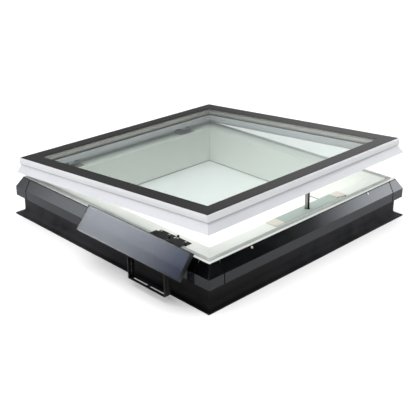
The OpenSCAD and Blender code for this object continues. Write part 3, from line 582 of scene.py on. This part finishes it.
# %% Panel finishes
FINGER_PITCH = 0.002
material, place = blank("panel_cell_blue")
cloud = place.noise(0.03, 4)
y = place.parts()[1]
finger = y.maths("FRACT", y * (1 / FINGER_PITCH)).step(0.12, 0.04)
tone = mixed(cloud.step(0.2, 0.8), shade(30, 38, 62), shade(38, 47, 74))
tone = mixed(finger * 0.25, tone, shade(120, 128, 145))
FINISHES["panel_cell_blue"] = closed_off(
    material, coated(place, tone, 0.35 + cloud * 0.1, bumped(finger, 0.00002), Metallic=0.2)
)

material, place = blank("panel_glass")
FINISHES["panel_glass"] = closed_off(material, pane_shader(place, (0.96, 0.97, 0.98, 1.0), least=0.075))
print("panel fingers every", FINGER_PITCH / MM, "mm")

# %% [markdown]
# ## Modelling tools
#
# A small fitting starts as a primitive at the origin and is shaped in edit mode. Two helpers keep that
# short: one starts a piece, the other picks the points, edges or faces whose middle answers a question.

# %% Modelling tools
def started(name, primitive, height=0.0, **size):
    """A new primitive on the Z axis, with its middle at that height, named and in edit mode."""
    bpy.ops.object.select_all(action="DESELECT")
    primitive(location=(0, 0, height), **size)
    bpy.ops.object.transform_apply(location=True)
    piece = bpy.context.object
    piece.name = piece.data.name = name
    bpy.ops.object.mode_set(mode="EDIT")
    return piece


def pick(piece, kind, wanted):
    """In edit mode, picks the VERT, EDGE or FACE parts whose middle is wanted."""
    bpy.ops.mesh.select_all(action="DESELECT")
    bpy.ops.mesh.select_mode(type=kind)
    mesh = bmesh.from_edit_mesh(piece.data)
    for part in {"VERT": mesh.verts, "EDGE": mesh.edges, "FACE": mesh.faces}[kind]:
        corners = [part] if kind == "VERT" else part.verts
        part.select = wanted(sum((v.co for v in corners), Vector()) / len(corners))
    mesh.select_flush_mode()
    bmesh.update_edit_mesh(piece.data)


def pushed(along, grown=1.0):
    """Extrudes what is picked along Z, then grows it about the Z axis."""
    bpy.ops.mesh.extrude_region_move(TRANSFORM_OT_translate={"value": (0, 0, along)})
    bpy.ops.transform.resize(value=(grown, grown, 1), center_override=(0, 0, 0))


def ringed(along, reach, was):
    """Extrudes the picked square ring along Z, and moves its sides from was to reach from the middle."""
    bpy.ops.mesh.extrude_edges_move(TRANSFORM_OT_translate={"value": (0, 0, along)})
    bpy.ops.transform.resize(value=(reach / was, reach / was, 1), center_override=(0, 0, 0))


def closed_up(piece, sharp=35):
    """Leaves edit mode with the normals outward and the round faces smooth."""
    bpy.ops.mesh.select_all(action="SELECT")
    bpy.ops.mesh.normals_make_consistent(inside=False)
    bpy.ops.object.mode_set(mode="OBJECT")
    bpy.ops.object.shade_smooth_by_angle(angle=math.radians(sharp))
    return piece


def takes_over(piece, node, slot):
    """The piece gets its finish and stands for a node, on that node's body."""
    piece.data.materials.append(FINISHES[slot])
    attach(piece, frame["nodes"][node]["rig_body"])
    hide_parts(node)


print("modelling tools ready")

# %% [markdown]
# ## Screws with a drive recess
#
# The frame's screws are plain studs. Each is measured where it stands: its axis is the longest direction
# of its points, and its head is the end that reaches furthest from the axis. One screw is modelled at the
# origin for each size, with a six-lobed recess, and copies of it take the studs' places.

# %% Measure the studs
def studs(node):
    """The loose parts of a node, each as an array of its points."""
    mesh = bmesh.new()
    mesh.from_mesh(frame["nodes"][node].data)
    bmesh.ops.remove_doubles(mesh, verts=mesh.verts, dist=1e-6)
    waiting, found = set(mesh.verts), []
    while waiting:
        reached, edge_of_it = set(), [waiting.pop()]
        while edge_of_it:
            vert = edge_of_it.pop()
            reached.add(vert)
            for edge in vert.link_edges:
                other = edge.other_vert(vert)
                if other in waiting:
                    waiting.discard(other)
                    edge_of_it.append(other)
        found.append(np.array([v.co for v in reached], float))
    mesh.free()
    return sorted(found, key=lambda points: tuple(points.mean(0).round(4)))


def measured(points):
    """A stud's place under its head, its axis towards the head, and its sizes in metres."""
    middle = points.mean(0)
    axis = np.linalg.svd(points - middle, full_matrices=False)[2][0]
    height = (points - middle) @ axis
    middle_line = middle + axis * height.mean()
    off = np.linalg.norm(points - middle_line - np.outer((points - middle_line) @ axis, axis), axis=1)
    if height[off > 0.9 * off.max()].mean() < 0:
        axis, height = -axis, -height
    under = height[off > 0.9 * off.max()].min()
    shank_r = off[height < height.min() + 0.0005].max()
    sizes = shank_r, under - height.min(), off.max(), height.max() - under
    return Vector(middle + axis * under), Vector(axis), tuple(round(float(s), 4) for s in sizes)


# %% Model a screw and set the copies
def screw(name, shank_r, shank_l, head_r, head_t):
    """A screw on the Z axis, with its head's underside at 0. Its recess is drawn in the head's middle."""
    point_l, rounding = shank_l * 0.2, head_t * 0.45
    wall, recess, lobe_in = head_r * 0.28, head_t * 0.6, 0.72
    piece = started(name, bpy.ops.mesh.primitive_cylinder_add, (point_l - shank_l) / 2, vertices=24,
                    radius=shank_r, depth=shank_l - point_l)
    pick(piece, "FACE", lambda at: at.z < -shank_l * 0.79)
    pushed(-point_l, 0.15)
    pick(piece, "FACE", lambda at: at.z > -1e-6)
    pushed(0, head_r / shank_r)
    pushed(head_t)
    pick(piece, "EDGE", lambda at: at.z > head_t - 1e-6)
    bpy.ops.mesh.bevel(offset=rounding, segments=4, affect="EDGES")
    pick(piece, "FACE", lambda at: at.z > head_t - 1e-6 and at.xy.length < head_r * 0.1)
    bpy.ops.mesh.inset(thickness=wall)
    pushed(-recess, 0.92)
    lobes = [Vector((math.cos(a), math.sin(a))) for a in (math.radians(15 + 60 * k) for k in range(6))]
    pick(piece, "VERT", lambda at: at.z > head_t * 0.3 and at.xy.length < head_r * 0.5
         and max(at.xy.normalized().dot(lobe) for lobe in lobes) > 0.99)
    bpy.ops.transform.resize(value=(lobe_in, lobe_in, 1), center_override=(0, 0, 0))
    return closed_up(piece)


patterns = {}
screw_count = 0
for node in ("cladding_screws", "arm_screws", "panel_screws", "hinge_frame_screws",
             "hinge_sash_screws", "bracket_screws"):
    for number, points in enumerate(studs(node), 1):
        place, axis, sizes = measured(points)
        if sizes not in patterns:
            patterns[sizes] = screw(f"screw_pattern_{len(patterns) + 1}", *sizes)
        copy = patterns[sizes].copy()
        copy.data = patterns[sizes].data.copy()
        copy.name = copy.data.name = f"{node[:-1]}_{number}"
        copy.data.transform(Matrix.Translation(place) @ axis.to_track_quat("Z", "Y").to_matrix().to_4x4())
        bpy.context.scene.collection.objects.link(copy)
        takes_over(copy, node, "screw_steel")
        screw_count += 1
print("screws", screw_count, "of sizes", sorted(patterns))
for pattern in patterns.values():
    bpy.data.objects.remove(pattern)

# %% [markdown]
# ## Cable gland
#
# The panel's cable goes into the frame by a small gland: a six-sided nut under a ribbed, domed cap with
# the cable's hole in its top.

# %% Cable gland
gland_low, gland_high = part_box("cable_gland")
gland_r = (gland_high.x - gland_low.x) / 2
gland_h = gland_high.z - gland_low.z
nut_h = gland_h * 0.32
nut = started("cable_gland_fitting", bpy.ops.mesh.primitive_cylinder_add, nut_h / 2, vertices=6,
              radius=gland_r, depth=nut_h)
bpy.ops.mesh.select_all(action="SELECT")
bpy.ops.mesh.bevel(offset=gland_r * 0.06, segments=2, affect="EDGES")
closed_up(nut)
cap = started("gland_cap", bpy.ops.mesh.primitive_cylinder_add, (gland_h + nut_h) / 2, vertices=48,
              radius=gland_r * 0.74, depth=gland_h - nut_h)
pick(cap, "EDGE", lambda at: at.z > gland_h - 1e-6)
bpy.ops.mesh.bevel(offset=gland_r * 0.3, segments=5, affect="EDGES")
pick(cap, "FACE", lambda at: at.z > gland_h - 1e-6 and at.xy.length < gland_r * 0.05)
bpy.ops.mesh.inset(thickness=gland_r * 0.14)
pushed(-gland_h * 0.15)
pick(cap, "FACE", lambda at: at.xy.length > gland_r * 0.7
     and round(math.degrees(math.atan2(at.y, at.x)) / 7.5 - 0.5) % 2 == 0)
bpy.ops.mesh.extrude_region_shrink_fatten(TRANSFORM_OT_shrink_fatten={"value": gland_r * 0.07})
closed_up(cap)
nut.select_set(True)
bpy.context.view_layer.objects.active = nut
bpy.ops.object.join()
middle = (gland_low + gland_high) / 2
nut.data.transform(Matrix.Translation((middle.x, middle.y, gland_low.z)))
takes_over(nut, "cable_gland", "sensor_black")
print("gland", round(gland_r * 2 / MM, 1), "mm wide and", round(gland_h / MM, 1), "mm high")

# %% [markdown]
# ## Weather seal with two lips
#
# The sash shuts on a rubber seal: a foot pressed into the frame's groove and two soft lips above it. The
# ring is made as it is welded on the real frame, in four mitred lengths. A square of edges is extruded
# round the outline of the seal's section, whose points are (out from the middle of the groove, up).

# %% Weather seal
seal_low, seal_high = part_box("weather_seal")
seal_foot = 4.2 * MM
groove = seal_high.x - seal_foot
seal_h = seal_high.z - seal_low.z
SECTION = [
    (1.0, 0.00), (1.0, 0.50), (0.72, 0.54), (0.95, 0.95), (0.76, 1.00), (0.30, 0.62),
    (-0.30, 0.62), (-0.76, 1.00), (-0.95, 0.95), (-0.72, 0.54), (-1.0, 0.50), (-1.0, 0.00), (1.0, 0.00),
]
seal = started("weather_seal_ring", bpy.ops.mesh.primitive_plane_add, seal_low.z, size=2 * seal_high.x)
bpy.ops.mesh.delete(type="ONLY_FACE")
bpy.ops.mesh.select_all(action="SELECT")
for (out, up), (next_out, next_up) in zip(SECTION, SECTION[1:]):
    ringed((next_up - up) * seal_h, groove + next_out * seal_foot, groove + out * seal_foot)
bpy.ops.mesh.select_all(action="SELECT")
bpy.ops.mesh.remove_doubles(threshold=0.00001)
closed_up(seal)
takes_over(seal, "weather_seal", "seal_grey")
print("seal ring", round(2 * groove, 4), "across and", round(seal_h / MM, 1), "mm high")

# %% [markdown]
# ## Closing sensor
#
# A button by the opener's cover feels the sash come down: a collar with a domed plunger in it, whose thin
# lead runs to the cover.

# %% Closing sensor
LEAD_R = 0.7 * MM
LEAD_SLEEVE = 1.2 * MM
points = studs("closing_sensor")[0]
at_button = points[points[:, 0] > points[:, 0].max() - 2 * MM]
at_cover = points[points[:, 0] < points[:, 0].min() + 1 * MM]
button_r = (at_button[:, 1].max() - at_button[:, 1].min()) / 2
button_h = points[:, 2].max() - points[:, 2].min()
button_at = Vector((
    points[:, 0].max() - button_r, (at_button[:, 1].max() + at_button[:, 1].min()) / 2, points[:, 2].min()
))
button = started("closing_sensor_button", bpy.ops.mesh.primitive_cylinder_add, button_h * 0.2,
                 vertices=32, radius=button_r, depth=button_h * 0.4)
pick(button, "FACE", lambda at: at.z > button_h * 0.39 and at.xy.length < button_r * 0.1)
bpy.ops.mesh.inset(thickness=button_r * 0.18)
pushed(-button_h * 0.12)
bpy.ops.mesh.inset(thickness=button_r * 0.06)
pushed(button_h * 0.72)
pick(button, "EDGE", lambda at: at.z > button_h * 0.99)
bpy.ops.mesh.bevel(offset=button_r * 0.5, segments=5, affect="EDGES")
closed_up(button)
button.data.transform(Matrix.Translation(button_at))
lead_from = Vector(at_cover.mean(0))
lead_run = Vector((button_at.x, button_at.y, lead_from.z)) - lead_from
lead = started("sensor_lead", bpy.ops.mesh.primitive_cylinder_add, lead_run.length / 2, vertices=16,
               radius=LEAD_R, depth=lead_run.length)
pick(lead, "FACE", lambda at: at.z < 1e-6)
pushed(0, 1.5)
pushed(-LEAD_SLEEVE)
closed_up(lead)
lead.data.transform(Matrix.Translation(lead_from) @ lead_run.to_track_quat("Z", "Y").to_matrix().to_4x4())
button.select_set(True)
bpy.context.view_layer.objects.active = button
bpy.ops.object.join()
takes_over(button, "closing_sensor", "sensor_black")
print("button", round(button_r * 2 / MM, 1), "mm wide, lead", round(lead_run.length / MM, 1), "mm long")

# %% [markdown]
# ## Soft edges
#
# Nothing folded, moulded or coated has a knife edge. The frame's meshes are welded and bevelled by
# modifiers, so they stay as they are, with a width that suits each kind of piece. Clamping is off, because
# it would narrow a whole piece's bevel to suit the short edges round its smallest hole. The cladding covers
# stay sharp: they mirror the tent, and a bevel beside their screw holes would streak that.

# %% Soften the edges
SOFT_EDGES = {
    0.0009: ["sash_trim", "upstand"],
    0.0006: ["frame_profile", "corner_front_right", "corner_back_right", "corner_back_left",
             "corner_front_left", "panel_tray"],
    0.0003: ["sash_profile", "opener_cover", "cover_end_left", "cover_end_right", "panel_arm_front",
             "panel_arm_rear", "panel_stirrup", "chain_bracket", "hinge_frame_leaves", "hinge_sash_leaves"],
    0.00025: ["chain_outer_plates", "chain_inner_plates"],
}
for width, names in SOFT_EDGES.items():
    for name in names:
        weld = frame["nodes"][name].modifiers.new("weld", "WELD")
        weld.merge_threshold = 0.00001
        bevel = frame["nodes"][name].modifiers.new("soft edge", "BEVEL")
        bevel.width, bevel.segments = width, 2
        bevel.limit_method, bevel.angle_limit = "ANGLE", math.radians(40)
        bevel.use_clamp_overlap = False
print("softened", sum(len(names) for names in SOFT_EDGES.values()), "pieces")

# %% [markdown]
# ## Lay each finish on its pieces
#
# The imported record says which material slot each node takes, so the finishes are laid on by slot. Only
# the outer pane differs: it takes the bordered glass.

# %% Lay the finishes on
slots = {part["node"]: part["material_slot"] for part in frame["record"]["subparts"]}
slots["outer_pane"] = "bordered_glass"


def laid(piece, slot):
    """Puts one finish all over a piece."""
    piece.data.materials.clear()
    piece.data.materials.append(FINISHES[slot])


for name, piece in frame["nodes"].items():
    laid(piece, slots[name])
print("finishes laid on", len(slots), "nodes; without one:", sorted(set(slots.values()) - set(FINISHES)))
